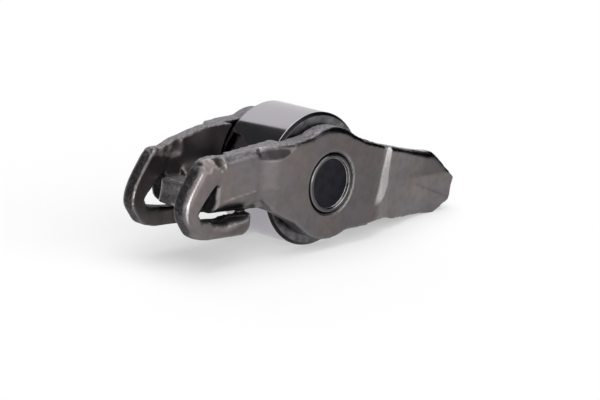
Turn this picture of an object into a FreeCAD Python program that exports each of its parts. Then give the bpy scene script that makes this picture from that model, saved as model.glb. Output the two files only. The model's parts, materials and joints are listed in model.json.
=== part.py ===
"""Roller finger follower: a one-piece stamped rocker arm with a cam roller on needles.

The frame has its origin at the centre of the roller's axle. +X runs to the pivot end, -X to
the valve end, Y along the axle, +Z up. The arm's outlines are drawn level, and the arm is
then pitched about the axle until it rests on its roller and its chin, as it lies on a bench.
"""
import FreeCAD, Part
import math
import os
import re
import Sketcher

# All sizes in millimetres, in the arm's own level frame. A size that ends in _x, _y or _z is
# a distance from the axle's centre along that axis, and "drop" is one below it.
SIZES = {
    # Roller, axle pin and needle bearing
    "ring_wall": 3.06,
    "roller_width": 8.9,
    "roller_chamfer": 0.4,
    "bore_chamfer": 0.2,
    "axle_radius": 3.9,
    "axle_recess_radius": 2.95,
    "axle_recess_depth": 0.22,
    "axle_mouth": 0.08,
    "axle_shoulder": 0.35,
    "needle_radius": 0.75,
    "needle_length": 7.8,
    "needle_chamfer": 0.15,
    "needle_play": 0.02,
    "needle_count": 19,
    # Widths across the arm
    "hub_half": 7.365,
    "valve_half": 5.9,
    "jaw_half": 3.4,
    "relief_half": 3.8,
    "bay_half": 4.75,
    "bay_reach": 9.3,
    # Hub
    "hub_radius": 7.1,
    "hub_side_x": 3.7,
    "hub_side_z": 6.05,
    "hub_low_x": 3.4,
    "hub_low_drop": 6.23,
    "valve_jog_foot": 11.2,
    "valve_jog_head": 9.5,
    "pivot_jog_head": 9.4,
    "pivot_jog_foot": 12.8,
    # Valve end: side walls and pallet web
    "wall_front_x": 18.35,
    "wall_front_z": 4.25,
    "wall_neck_x": 8.5,
    "wall_neck_z": 5.6,
    "pallet_end_x": 19.1,
    "pallet_top_z": 0.15,
    "pallet_drop": 2.85,
    "pad_half": 3.2,
    "pad_front_x": 18.9,
    "pad_back_x": 13.2,
    "pad_rise": 0.12,
    "belly_front_x": 9.2,
    "belly_front_drop": 3.0,
    "belly_back_x": 6.0,
    "belly_back_drop": 4.5,
    "relief_front_x": 18.7,
    "relief_back_x": 15.8,
    "relief_floor_z": 2.65,
    "bend_radius": 1.9,
    "root_radius": 2.2,
    # Guide hooks
    "hook_crown_x": 20.95,
    "hook_crown_z": 3.95,
    "hook_heel_x": 23.75,
    "hook_heel_drop": 2.35,
    "hook_sole_x": 21.3,
    "hook_sole_drop": 5.3,
    "hook_base_x": 18.8,
    "hook_base_drop": 5.72,
    "hook_ball_x": 12.75,
    "hook_ball_drop": 5.6,
    "hook_toe_x": 11.75,
    "hook_toe_drop": 4.95,
    "window_top_z": 1.35,
    "window_heel_x": 21.35,
    "window_heel_drop": 2.45,
    "window_sole_x": 20.3,
    "window_sole_drop": 3.85,
    "window_base_x": 16.6,
    "window_base_drop": 4.15,
    "window_toe_drop": 3.1,
    # Pivot tongue
    "shoulder_x": 5.9,
    "shoulder_z": 4.95,
    "collar_x": 10.0,
    "collar_z": 4.05,
    "brow_x": 23.2,
    "brow_z": 1.5,
    "brow_half": 4.2,
    "nose_x": 28.3,
    "nose_drop": 2.1,
    "nose_half": 3.4,
    "jaw_end_x": 27.3,
    "jaw_end_drop": 4.8,
    "chin_x": 24.3,
    "chin_drop": 6.65,
    "throat_x": 9.4,
    "throat_drop": 5.7,
    "tongue_root_half": 5.75,
    "tongue_wall": 2.4,
    "tongue_floor_drop": 3.4,
    "socket_x": 19.5,
    "socket_radius": 3.4,
    "socket_rim_drop": 6.0,
    "dome_radius": 4.15,
    "dome_wall": 2.3,
    # Edges
    "hook_round": 3.0,
    "crown_round": 2.8,
    "toe_round": 0.6,
    "window_round": 0.6,
    "hook_rim_round": 1.2,
    "jaw_round": 2.0,
    "brow_round": 0.8,
    # How far one feature runs into or past the one it joins
    "overlap": 1.0,
    "margin": 0.2,
}
FAR = 40.0
NEAR = 0.01
ROOT_STEP = 18
BORE = "(axle_radius+2*needle_radius+2*needle_play)"
ROLLER = "(" + BORE + "+ring_wall)"

doc = FreeCAD.newDocument("rocker_arm")
sheet = doc.addObject("Spreadsheet::Sheet", "sizes")
for row, (alias, value) in enumerate(SIZES.items(), start=1):
    sheet.set("A%d" % row, alias)
    sheet.set("B%d" % row, str(value))
    sheet.setAlias("B%d" % row, alias)
doc.recompute()


def bound(formula):
    """Spell a formula's size names the way an expression needs them."""
    return re.sub(r"[a-z][a-z_]+", lambda word: prefixed(word.group()), str(formula))


def prefixed(word):
    return "sizes." + word if word in SIZES else word


def size(formula):
    """Value of a formula of size names, in millimetres."""
    value = sheet.evalExpression(bound(formula))
    return float(getattr(value, "Value", value))


def bind(target, prop, formula):
    target.setExpression(prop, bound(formula))


def new_body(label):
    body = doc.addObject("PartDesign::Body", label)
    body.Label = label
    return body


def new_sketch(body, role, name):
    """Sketch on one of the body's own origin planes."""
    plane = next(part for part in body.Origin.OriginFeatures if part.Role == role)
    sketch = body.newObject("Sketcher::SketchObject", name)
    sketch.AttachmentSupport = [(plane, "")]
    sketch.MapMode = "FlatFace"
    return sketch


def place_corner(sketch, edge, across, up):
    """Hold an edge's first point at two formulas from the sketch's origin."""
    for kind, formula, axis in (("DistanceX", across, -2), ("DistanceY", up, -1)):
        if formula == "0":
            sketch.addConstraint(Sketcher.Constraint("PointOnObject", edge, 1, axis))
        else:
            rule = Sketcher.Constraint(kind, -1, 1, edge, 1, size(formula))
            bind(sketch, "Constraints[%d]" % sketch.addConstraint(rule), formula)


def draw_outline(sketch, corners):
    """Closed straight-sided outline through corners given as pairs of formulas."""
    points = [FreeCAD.Vector(size(across), size(up), 0) for across, up in corners]
    ends = points[1:] + points[:1]
    first = sketch.GeometryCount
    for start, end in zip(points, ends):
        sketch.addGeometry(Part.LineSegment(start, end))
    for step in range(len(corners)):
        following = first + (step + 1) % len(corners)
        sketch.addConstraint(Sketcher.Constraint("Coincident", first + step, 2, following, 1))
    for step, (across, up) in enumerate(corners):
        place_corner(sketch, first + step, across, up)


def mirror(corners):
    """The same corners on the other side of the sketch's horizontal axis, in closing order."""
    return [(across, "-(" + up + ")") for across, up in reversed(corners)]


def draw_circle(sketch, radius):
    """Circle about the sketch's origin."""
    round_line = Part.Circle(FreeCAD.Vector(), FreeCAD.Vector(0, 0, 1), size(radius))
    circle = sketch.addGeometry(round_line)
    sketch.addConstraint(Sketcher.Constraint("Coincident", circle, 3, -1, 1))
    hold_radius(sketch, circle, radius)


def hold_radius(sketch, arc, radius):
    index = sketch.addConstraint(Sketcher.Constraint("Radius", arc, size(radius)))
    bind(sketch, "Constraints[%d]" % index, radius)


def draw_dome(sketch, radius, reach, centre, bottom):
    """Half section of a round-topped post about the sketch's vertical axis."""
    middle = FreeCAD.Vector(0, size(centre), 0)
    ball = Part.Circle(middle, FreeCAD.Vector(0, 0, 1), size(radius))
    low = math.acos(size(reach) / size(radius))
    crown = FreeCAD.Vector(0, size(centre) + size(radius), 0)
    rim = FreeCAD.Vector(size(reach), size(centre) + size(radius) * math.sin(low), 0)
    corner = FreeCAD.Vector(size(reach), size(bottom), 0)
    foot = FreeCAD.Vector(0, size(bottom), 0)
    arc = sketch.addGeometry(Part.ArcOfCircle(ball, low, math.pi / 2))
    core = sketch.addGeometry(Part.LineSegment(crown, foot))
    base = sketch.addGeometry(Part.LineSegment(foot, corner))
    wall = sketch.addGeometry(Part.LineSegment(corner, rim))
    for one, end, other, start in ((arc, 2, core, 1), (core, 2, base, 1),
                                   (base, 2, wall, 1), (wall, 2, arc, 1)):
        sketch.addConstraint(Sketcher.Constraint("Coincident", one, end, other, start))
    sketch.addConstraint(Sketcher.Constraint("PointOnObject", arc, 3, -2))
    sketch.addConstraint(Sketcher.Constraint("PointOnObject", arc, 2, -2))
    hold_radius(sketch, arc, radius)
    level = sketch.addConstraint(Sketcher.Constraint("DistanceY", -1, 1, arc, 3, size(centre)))
    bind(sketch, "Constraints[%d]" % level, centre)
    place_corner(sketch, base, "0", bottom)
    place_corner(sketch, wall, reach, bottom)


def extrude(body, kind, sketch, width, name):
    """Pad or pocket a sketch evenly to both sides over the whole width."""
    feature = body.newObject("PartDesign::" + kind, name)
    feature.Profile = sketch
    feature.SideType = "Symmetric"
    bind(feature, "Length", width)
    body.Tip = feature
    doc.recompute()
    return feature


def side_block(body, kind, name, width, corners):
    """Pad or pocket an outline seen from the side, centred on the arm's middle plane."""
    sketch = new_sketch(body, "XZ_Plane", name + "_outline")
    draw_outline(sketch, corners)
    return extrude(body, kind, sketch, width, name)


def dig_up(body, name, floor, outlines):
    """Pocket outlines seen from above, from a floor height up through the top."""
    sketch = new_sketch(body, "XY_Plane", name + "_outline")
    bind(sketch, "AttachmentOffset.Base.z", floor)
    for corners in outlines:
        draw_outline(sketch, corners)
    feature = body.newObject("PartDesign::Pocket", name)
    feature.Profile = sketch
    feature.Reversed = True
    feature.Length = FAR
    body.Tip = feature
    doc.recompute()
    return feature


def revolve(body, kind, name, sketch):
    """Turn a sketch's half section a full turn about its vertical axis."""
    feature = body.newObject("PartDesign::" + kind, name)
    feature.Profile = sketch
    feature.ReferenceAxis = (sketch, ["V_Axis"])
    feature.Angle = 360
    body.Tip = feature
    doc.recompute()
    return feature


def round_edges(body, name, radius, test):
    """Fillet every edge of the body's last feature that passes the test."""
    base = body.Tip
    edges = ["Edge%d" % number for number, edge in enumerate(base.Shape.Edges, 1) if test(edge)]
    if not edges:
        raise RuntimeError("no edges to round for " + name)
    fillet = body.newObject("PartDesign::Fillet", name)
    fillet.Base = (base, edges)
    bind(fillet, "Radius", radius)
    body.Tip = fillet
    doc.recompute()
    return fillet


def runs_across(edge, across, up):
    """True for a straight edge along Y that passes over the point (across, up)."""
    ends = [vertex.Point for vertex in edge.Vertexes]
    near = all(math.hypot(end.x - across, end.z - up) < NEAR for end in ends)
    return near and len(ends) == 2 and abs(ends[0].y - ends[1].y) > NEAR


def runs_along(edge, up):
    """True for a straight edge along X at the given height."""
    ends = [vertex.Point for vertex in edge.Vertexes]
    level = all(abs(end.z - up) < NEAR for end in ends)
    return level and len(ends) == 2 and abs(ends[0].x - ends[1].x) > NEAR


# Arm: web and rounded bends at the valve end, drawn as seen along the arm
def add_valve_channel(body):
    sketch = new_sketch(body, "YZ_Plane", "channel_section")
    bind(sketch, "AttachmentOffset.Base.z", "-wall_front_x")
    draw_outline(sketch, [
        ("-valve_half", "pallet_top_z"),
        ("-valve_half", "-pallet_drop"),
        ("valve_half", "-pallet_drop"),
        ("valve_half", "pallet_top_z"),
    ])
    channel = body.newObject("PartDesign::Pad", "valve_channel")
    channel.Profile = sketch
    bind(channel, "Length", "wall_front_x-bay_reach")
    body.Tip = channel
    doc.recompute()
    bottom = -size("pallet_drop")
    round_edges(body, "bends", "bend_radius", lambda edge: runs_along(edge, bottom))


# Arm: side walls, hub and tongue from one side outline
def add_side_form(body):
    corners = [
        ("-wall_front_x", "wall_front_z"),
        ("-wall_neck_x", "wall_neck_z"),
        ("-hub_side_x", "hub_side_z"),
        ("hub_side_x", "hub_side_z"),
        ("shoulder_x", "shoulder_z"),
        ("collar_x", "collar_z"),
        ("brow_x", "brow_z"),
        ("nose_x", "-nose_drop"),
        ("jaw_end_x", "-jaw_end_drop"),
        ("chin_x", "-chin_drop"),
        ("throat_x", "-throat_drop"),
        ("hub_low_x", "-hub_low_drop"),
        ("-hub_low_x", "-hub_low_drop"),
        ("-belly_back_x", "-belly_back_drop"),
        ("-belly_front_x", "-belly_front_drop"),
        ("-valve_jog_foot", "bend_radius-pallet_drop"),
        ("-wall_front_x", "bend_radius-pallet_drop"),
    ]
    side_block(body, "Pad", "side_form", "2*hub_half", corners)
    boss = new_sketch(body, "XZ_Plane", "hub_outline")
    draw_circle(boss, "hub_radius")
    extrude(body, "Pad", boss, "2*hub_half", "hub_boss")


# Arm: both jogs and the tongue's taper, cut away as seen from above
def trim_to_plan(body):
    sketch = new_sketch(body, "XY_Plane", "plan_outline")
    for side in ("", "-"):
        draw_outline(sketch, [
            ("-%g" % FAR, side + "valve_half"),
            ("-valve_jog_foot", side + "valve_half"),
            ("-valve_jog_head", side + "hub_half"),
            ("-valve_jog_head", side + "%g" % FAR),
            ("-%g" % FAR, side + "%g" % FAR),
        ])
        draw_outline(sketch, [
            ("%g" % FAR, side + "nose_half"),
            ("nose_x", side + "nose_half"),
            ("brow_x", side + "brow_half"),
            ("pivot_jog_foot", side + "tongue_root_half"),
            ("pivot_jog_head", side + "hub_half"),
            ("pivot_jog_head", side + "%g" % FAR),
            ("%g" % FAR, side + "%g" % FAR),
        ])
    extrude(body, "Pocket", sketch, 2 * FAR, "plan_trim")


# Arm: the two guide hooks that hang beside the valve stem
def add_hooks(body):
    side_block(body, "Pad", "hooks", "2*valve_half", [
        ("-wall_front_x+overlap", "wall_front_z"),
        ("-wall_front_x", "wall_front_z"),
        ("-hook_crown_x", "hook_crown_z"),
        ("-hook_heel_x", "-hook_heel_drop"),
        ("-hook_sole_x", "-hook_sole_drop"),
        ("-hook_base_x", "-hook_base_drop"),
        ("-hook_ball_x", "-hook_ball_drop"),
        ("-hook_toe_x", "-hook_toe_drop"),
        ("-hook_toe_x", "-window_toe_drop"),
        ("-window_base_x", "-window_base_drop"),
        ("-window_sole_x", "-window_sole_drop"),
        ("-window_heel_x", "-window_heel_drop"),
        ("-wall_front_x", "window_top_z"),
        ("-wall_front_x+overlap", "window_top_z"),
    ])


# Arm: the space for the valve stem and spring end, the pallet between its walls, and the
# raised flat on its underside that the stem's tip runs on
def open_valve_end(body):
    side_block(body, "Pocket", "stem_gap", "2*jaw_half", [
        ("-%g" % FAR, "%g" % FAR),
        ("-hub_side_x", "%g" % FAR),
        ("-hub_side_x", "pallet_top_z"),
        ("-wall_front_x-margin", "pallet_top_z"),
        ("-wall_front_x-margin", "-pallet_drop"),
        ("-hub_side_x", "-pallet_drop"),
        ("-hub_side_x", "-%g" % FAR),
        ("-%g" % FAR, "-%g" % FAR),
    ])
    side_block(body, "Pad", "pallet_lip", "2*jaw_half", [
        ("-pallet_end_x", "pallet_top_z"),
        ("-wall_front_x+overlap", "pallet_top_z"),
        ("-wall_front_x+overlap", "-pallet_drop"),
        ("-pallet_end_x", "-pallet_drop"),
    ])
    side_block(body, "Pad", "valve_pad", "2*pad_half", [
        ("-pad_front_x", "overlap-pallet_drop"),
        ("-pad_back_x", "overlap-pallet_drop"),
        ("-pad_back_x", "-pallet_drop-pad_rise"),
        ("-pad_front_x", "-pallet_drop-pad_rise"),
    ])


# Arm: room for the roller, and the hollow of the tongue between its walls
def open_roller_bay(body):
    sketch = new_sketch(body, "XZ_Plane", "bay_outline")
    draw_circle(sketch, "bay_reach")
    extrude(body, "Pocket", sketch, "2*bay_half", "roller_bay")


def hollow_tongue(body):
    half = [
        ("bay_reach-overlap", "bay_half"),
        ("pivot_jog_head", "bay_half"),
        ("pivot_jog_foot", "tongue_root_half-tongue_wall"),
        ("brow_x", "brow_half-tongue_wall"),
        ("%g" % FAR, "brow_half-tongue_wall"),
    ]
    dig_up(body, "tongue_hollow", "-tongue_floor_drop", [half + mirror(half)])


# Arm: the pivot's ball socket, drawn up into a dome between the walls
def add_socket(body):
    for kind, name, radius, reach, bottom in (
            ("Revolution", "dome", "socket_radius+dome_wall", "dome_radius", "-socket_rim_drop+overlap"),
            ("Groove", "socket", "socket_radius", "socket_radius", "-%g" % FAR)):
        sketch = new_sketch(body, "XZ_Plane", name + "_section")
        bind(sketch, "AttachmentOffset.Base.x", "socket_x")
        draw_dome(sketch, radius, reach, "-socket_rim_drop", bottom)
        revolve(body, kind, name, sketch)


# Arm: holes for the axle pin, with their mouths' edges broken
def bore_axle_holes(body):
    half = [
        ("0", "hub_half+overlap"),
        ("axle_radius+axle_mouth+overlap", "hub_half+overlap"),
        ("axle_radius", "hub_half-axle_mouth"),
    ]
    sketch = new_sketch(body, "XY_Plane", "axle_hole_section")
    draw_outline(sketch, half + mirror(half))
    revolve(body, "Groove", "axle_holes", sketch)


# Arm: the coined relief in both walls, and the soft inner bends behind it
def relieve_walls(body):
    dig_up(body, "relief", "relief_floor_z", [[
        ("-relief_front_x", "relief_half"),
        ("-relief_back_x", "relief_half"),
        ("-relief_back_x", "-relief_half"),
        ("-relief_front_x", "-relief_half"),
    ]])


def fill_roots(body):
    bend = [("jaw_half-root_radius+root_radius*cos(%d)" % angle,
             "pallet_top_z+root_radius-root_radius*sin(%d)" % angle)
            for angle in range(0, 91, ROOT_STEP)]
    sunk = [("jaw_half-root_radius", "pallet_top_z-overlap"),
            ("jaw_half+overlap", "pallet_top_z-overlap"),
            ("jaw_half+overlap", "pallet_top_z+root_radius")]
    for side in ("", "-"):
        sketch = new_sketch(body, "YZ_Plane", "root_section" + side)
        bind(sketch, "AttachmentOffset.Base.z", "-relief_back_x")
        draw_outline(sketch, [(side + "(" + across + ")", up) for across, up in bend + sunk])
        root = body.newObject("PartDesign::Pad", "wall_root" + side)
        root.Profile = sketch
        bind(root, "Length", "relief_back_x-hub_side_x")
        body.Tip = root
        doc.recompute()


# Arm: the outlines' corners, each with its own radius
def round_corners(body):
    for name, radius, corners in (
            ("hook_rounds", "hook_round", [("-hook_heel_x", "-hook_heel_drop"),
                                           ("-hook_sole_x", "-hook_sole_drop")]),
            ("hook_crowns", "crown_round", [("-hook_crown_x", "hook_crown_z")]),
            ("hook_toes", "toe_round", [("-hook_ball_x", "-hook_ball_drop"),
                                        ("-hook_toe_x", "-hook_toe_drop")]),
            ("window_rounds", "window_round", [("-window_heel_x", "-window_heel_drop"),
                                               ("-window_sole_x", "-window_sole_drop")]),
            ("jaw_rounds", "jaw_round", [("jaw_end_x", "-jaw_end_drop")]),
            ("brow_rounds", "brow_round", [("brow_x", "brow_z")])):
        spots = [(size(across), size(up)) for across, up in corners]
        round_edges(body, name, radius,
                    lambda edge: any(runs_across(edge, *spot) for spot in spots))


# Arm: the hooks' outer rims, rolled over as the blanking die leaves them
def roll_hooks(body):
    round_edges(body, "hook_rims", "hook_rim_round", lies_on_hook_rim)


def lies_on_hook_rim(edge):
    """True for an outer edge of a hook's outline, from its crown round its heel to its toe."""
    if edge.Degenerated:
        return False
    side = size("valve_half")
    middle = edge.valueAt((edge.FirstParameter + edge.LastParameter) / 2)
    spots = [vertex.Point for vertex in edge.Vertexes] + [middle]
    if any(abs(abs(spot.y) - side) > NEAR for spot in spots):
        return False
    front, toe = -size("wall_front_x"), -size("hook_toe_x")
    window = [(front, size("window_top_z")),
              (-size("window_heel_x"), -size("window_heel_drop")),
              (-size("window_sole_x"), -size("window_sole_drop")),
              (-size("window_base_x"), -size("window_base_drop")),
              (toe, -size("window_toe_drop"))]
    rim = min(gap_to_run(middle, *run) for run in zip(window, window[1:]))
    before_wall = middle.x < front - NEAR or middle.z < -size("window_toe_drop") - NEAR
    return before_wall and middle.x < toe + NEAR and rim > size("margin")


def gap_to_run(point, start, end):
    """Distance from a point to a straight run, as seen from the side."""
    run_x, run_z = end[0] - start[0], end[1] - start[1]
    part = ((point.x - start[0]) * run_x + (point.z - start[1]) * run_z)
    part = min(max(part / (run_x ** 2 + run_z ** 2), 0), 1)
    return math.hypot(point.x - start[0] - part * run_x, point.z - start[1] - part * run_z)


def arm_body():
    body = new_body("arm")
    add_valve_channel(body)
    add_side_form(body)
    trim_to_plan(body)
    add_hooks(body)
    open_valve_end(body)
    relieve_walls(body)
    fill_roots(body)
    open_roller_bay(body)
    hollow_tongue(body)
    add_socket(body)
    bore_axle_holes(body)
    round_corners(body)
    roll_hooks(body)
    body.Placement.Rotation = FreeCAD.Rotation(FreeCAD.Vector(0, 1, 0), 1)
    bind(body, "Placement.Rotation.Angle",
         "asin(" + ROLLER + "/sqrt(chin_x^2+chin_drop^2))-atan(chin_drop/chin_x)")
    return body


# Axle pin: solid, with rounded-off shoulders and a shallow dish in each end
def axle_pin_body():
    body = new_body("axle_pin")
    half = [
        ("0", "hub_half-axle_recess_depth"),
        ("axle_recess_radius", "hub_half-axle_recess_depth"),
        ("axle_recess_radius+axle_recess_depth", "hub_half"),
        ("axle_radius-axle_shoulder", "hub_half"),
        ("axle_radius", "hub_half-axle_shoulder"),
    ]
    sketch = new_sketch(body, "XY_Plane", "pin_section")
    draw_outline(sketch, half + mirror(half))
    revolve(body, "Revolution", "pin", sketch)
    return body


# Roller: outer ring of the bearing, chamfered at both faces
def roller_body():
    body = new_body("roller")
    half = [
        (BORE, "roller_width/2-bore_chamfer"),
        (BORE + "+bore_chamfer", "roller_width/2"),
        (ROLLER + "-roller_chamfer", "roller_width/2"),
        (ROLLER, "roller_width/2-roller_chamfer"),
    ]
    sketch = new_sketch(body, "XY_Plane", "ring_section")
    draw_outline(sketch, half + mirror(half))
    revolve(body, "Revolution", "ring", sketch)
    return body


# Needles: loose rollers side by side, filling the ring's bore
def needle_body(number):
    body = new_body("needle_%02d" % number)
    half = [
        ("0", "needle_length/2"),
        ("needle_radius-needle_chamfer", "needle_length/2"),
        ("needle_radius", "needle_length/2-needle_chamfer"),
    ]
    sketch = new_sketch(body, "XY_Plane", "needle_section_%02d" % number)
    draw_outline(sketch, half + mirror(half))
    revolve(body, "Revolution", "needle_turning_%02d" % number, sketch)
    turn = "%d*360/needle_count" % (number - 1)
    pitch_radius = "(axle_radius+needle_play+needle_radius)"
    bind(body, "Placement.Base.x", pitch_radius + "*cos(" + turn + ")")
    bind(body, "Placement.Base.z", pitch_radius + "*sin(" + turn + ")")
    return body


def check_document():
    """Stop on any object that failed to build."""
    for item in doc.Objects:
        if "Invalid" in item.State or "Error" in item.State:
            raise RuntimeError("failed: " + item.Name)


def check_shape(piece):
    """Stop on a sub-part that is empty, invalid or in several lumps."""
    shape = piece.Shape
    if shape.isNull() or not shape.isValid() or len(shape.Solids) != 1:
        raise RuntimeError("bad solid: " + piece.Label)


pieces = [arm_body(), axle_pin_body(), roller_body()]
pieces += [needle_body(number) for number in range(1, int(size("needle_count")) + 1)]
doc.recompute()
check_document()
for piece in pieces:
    check_shape(piece)
os.makedirs("parts", exist_ok=True)
for piece in pieces:
    piece.Shape.exportStep("parts/%s.step" % piece.Label)
    print(piece.Label, round(piece.Shape.Volume, 2))
print("arm pitch", round(pieces[0].Placement.Rotation.Angle * 180 / math.pi, 3))
print("extent", pieces[0].Shape.BoundBox)
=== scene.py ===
"""Roller finger follower dressed for a studio picture: stamped arm, axle pin, roller, needles.

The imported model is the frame. Each operator below makes one piece or one group of like
pieces, or the stage. Lengths are metres in the scene and millimetres in the arm's own
level frame, in which it is worked before it is pitched on to its roller and chin.
"""
import json
import math

import bmesh
import bpy
from mathutils import Matrix, Vector, noise


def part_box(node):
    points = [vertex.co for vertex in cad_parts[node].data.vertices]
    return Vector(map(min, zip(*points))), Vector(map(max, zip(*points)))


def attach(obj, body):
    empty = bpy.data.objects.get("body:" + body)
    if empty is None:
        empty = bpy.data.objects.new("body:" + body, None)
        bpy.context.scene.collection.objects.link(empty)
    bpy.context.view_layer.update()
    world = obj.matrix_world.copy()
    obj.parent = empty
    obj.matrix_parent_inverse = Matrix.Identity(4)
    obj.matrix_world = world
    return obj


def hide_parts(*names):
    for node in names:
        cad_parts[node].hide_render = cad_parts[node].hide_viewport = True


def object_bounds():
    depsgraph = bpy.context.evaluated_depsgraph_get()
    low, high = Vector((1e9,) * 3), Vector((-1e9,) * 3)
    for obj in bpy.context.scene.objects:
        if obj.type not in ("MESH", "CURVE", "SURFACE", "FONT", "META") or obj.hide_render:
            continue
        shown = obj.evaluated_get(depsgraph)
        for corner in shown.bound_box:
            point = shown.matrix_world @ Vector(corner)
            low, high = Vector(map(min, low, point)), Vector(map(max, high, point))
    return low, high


bl_info = {
    "name": "Roller Finger Follower",
    "version": (1, 0, 0),
    "blender": (4, 5, 0),
    "location": "View3D > Sidebar > Follower",
    "description": "Builds a stamped rocker arm with its roller, axle pin and needles",
    "category": "Add Mesh",
}

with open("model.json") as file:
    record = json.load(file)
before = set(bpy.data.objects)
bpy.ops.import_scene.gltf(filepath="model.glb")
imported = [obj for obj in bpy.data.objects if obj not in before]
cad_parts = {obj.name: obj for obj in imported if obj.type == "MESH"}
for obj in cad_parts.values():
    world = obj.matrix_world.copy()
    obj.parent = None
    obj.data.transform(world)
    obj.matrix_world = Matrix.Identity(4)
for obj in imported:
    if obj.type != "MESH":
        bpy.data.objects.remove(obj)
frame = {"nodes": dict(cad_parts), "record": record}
CAD_BOX = [list(corner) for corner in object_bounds()]
MM = 0.001
FLOOR = CAD_BOX[0][2]


def find_pitch():
    """Angle about Y by which the arm lies tipped, from the valve pad's normal."""
    mounts = {mount["name"]: mount for mount in frame["record"]["mounts"]}
    across, _, up = mounts["valve_pad"]["axis"]
    return math.atan2(-across, -up)


PITCH = find_pitch()


# Sizes and colours that a user would change
class ArmSettings(bpy.types.PropertyGroup):
    voxel: bpy.props.FloatProperty(
        name="Detail", description="Grid that the arm's surface is rebuilt on, in millimetres",
        default=0.2, min=0.1, max=1.0)
    rim_rounds: bpy.props.IntProperty(
        name="Rim rounding", description="Smoothing passes over the arm's outer rims",
        default=10, min=0, max=100)
    hook_rounds: bpy.props.IntProperty(
        name="Hook rounding", description="Smoothing passes over the guide hooks' outer rims",
        default=16, min=0, max=200)
    steel: bpy.props.FloatVectorProperty(
        name="Arm steel", description="Tumbled steel of the arm", subtype="COLOR",
        default=(0.160, 0.144, 0.148), min=0, max=1)
    warm: bpy.props.FloatVectorProperty(
        name="Warm tint", description="Brownish patches on the arm", subtype="COLOR",
        default=(0.175, 0.151, 0.146), min=0, max=1)
    # Bare steel on worn edges, also used for painted highlights on the hooks' crests, the pivot's
    # jog, the tongue's top and the pin's seat
    rubbed_and_highlit: bpy.props.FloatVectorProperty(
        name="Rubbed edge", description="Bare steel on the arm's rubbed edges", subtype="COLOR",
        default=(0.74, 0.71, 0.70), min=0, max=1)
    # Pale steel of the walls' sheared top faces: partly their own finish, partly painted sheen on
    # faces turned up, drawn fainter on the far wall
    top_face_and_sheen: bpy.props.FloatVectorProperty(
        name="Top face", description="Pale steel on the walls' top faces", subtype="COLOR",
        default=(0.43, 0.415, 0.437), min=0, max=1)
    # Painted dark reflection: colour put on the outer rolled top rims to stand in for the dark
    # room they reflect
    scale: bpy.props.FloatVectorProperty(
        name="Scale", description="Dark scale left on the rolled rims", subtype="COLOR",
        default=(0.012, 0.012, 0.016), min=0, max=1)
    # Painted shade: dark colour put in the hooks' windows, on the bars beside them, under the
    # walls, in the scoops and round the pin's seat, where shade falls
    painted_shade: bpy.props.FloatVectorProperty(
        name="Painted_shade", description="Dark grime in the hooks' windows and the scoops",
        subtype="COLOR", default=(0.02, 0.02, 0.022), min=0, max=1)
    sheared: bpy.props.FloatVectorProperty(
        name="Sheared face", description="Dark steel in the rough sheared faces",
        subtype="COLOR", default=(0.040, 0.039, 0.043), min=0, max=1)


class BearingSettings(bpy.types.PropertyGroup):
    bore: bpy.props.FloatProperty(
        name="Bore", description="Radius of the roller's bore, round the needles",
        default=5.44 * MM, min=0, unit="LENGTH")
    chamfer: bpy.props.FloatProperty(
        name="Chamfer", description="Chamfer of the roller's outer edges",
        default=0.4 * MM, min=0, unit="LENGTH")
    ring_edge: bpy.props.FloatProperty(
        name="Ring edge", description="Rounding of the roller's outer edges",
        default=0.1 * MM, min=0, unit="LENGTH")
    eased_edge: bpy.props.FloatProperty(
        name="Eased edge", description="Rounding of the bore's edges and the needles' ends",
        default=0.2 * MM, min=0, unit="LENGTH")
    dish: bpy.props.FloatProperty(
        name="Dish", description="Radius of the dish in each end of the pin",
        default=3.2 * MM, min=0, unit="LENGTH")
    dish_depth: bpy.props.FloatProperty(
        name="Dish depth", description="Depth of the dish in each end of the pin",
        default=0.42 * MM, min=0, unit="LENGTH")
    shoulder: bpy.props.FloatProperty(
        name="Shoulder", description="Width of the pin's shoulders",
        default=0.35 * MM, min=0, unit="LENGTH")
    turns: bpy.props.IntProperty(
        name="Turns", description="Steps round the roller and the pin",
        default=160, min=32, max=512)
    needle_turns: bpy.props.IntProperty(
        name="Needle turns", description="Steps round each needle", default=24, min=8, max=64)
    ring_steel: bpy.props.FloatVectorProperty(
        name="Roller steel", description="Polished steel of the roller", subtype="COLOR",
        default=(0.585, 0.56, 0.60), min=0, max=1)
    side_steel: bpy.props.FloatVectorProperty(
        name="Roller side", description="Satin steel of the roller's sides", subtype="COLOR",
        default=(0.078, 0.076, 0.080), min=0, max=1)
    side_patch: bpy.props.FloatVectorProperty(
        name="Roller side patch", description="Paler patches on the roller's sides",
        subtype="COLOR", default=(0.17, 0.165, 0.17), min=0, max=1)
    chamfer_steel: bpy.props.FloatVectorProperty(
        name="Chamfer steel", description="Dark steel of the roller's chamfers",
        subtype="COLOR", default=(0.022, 0.021, 0.024), min=0, max=1)
    pin_steel: bpy.props.FloatVectorProperty(
        name="Pin steel", description="Dark ends of the axle pin", subtype="COLOR",
        default=(0.011, 0.011, 0.015), min=0, max=1)
    rim_steel: bpy.props.FloatVectorProperty(
        name="Pin rim", description="Ground rim of the axle pin", subtype="COLOR",
        default=(0.13, 0.125, 0.125), min=0, max=1)


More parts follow.
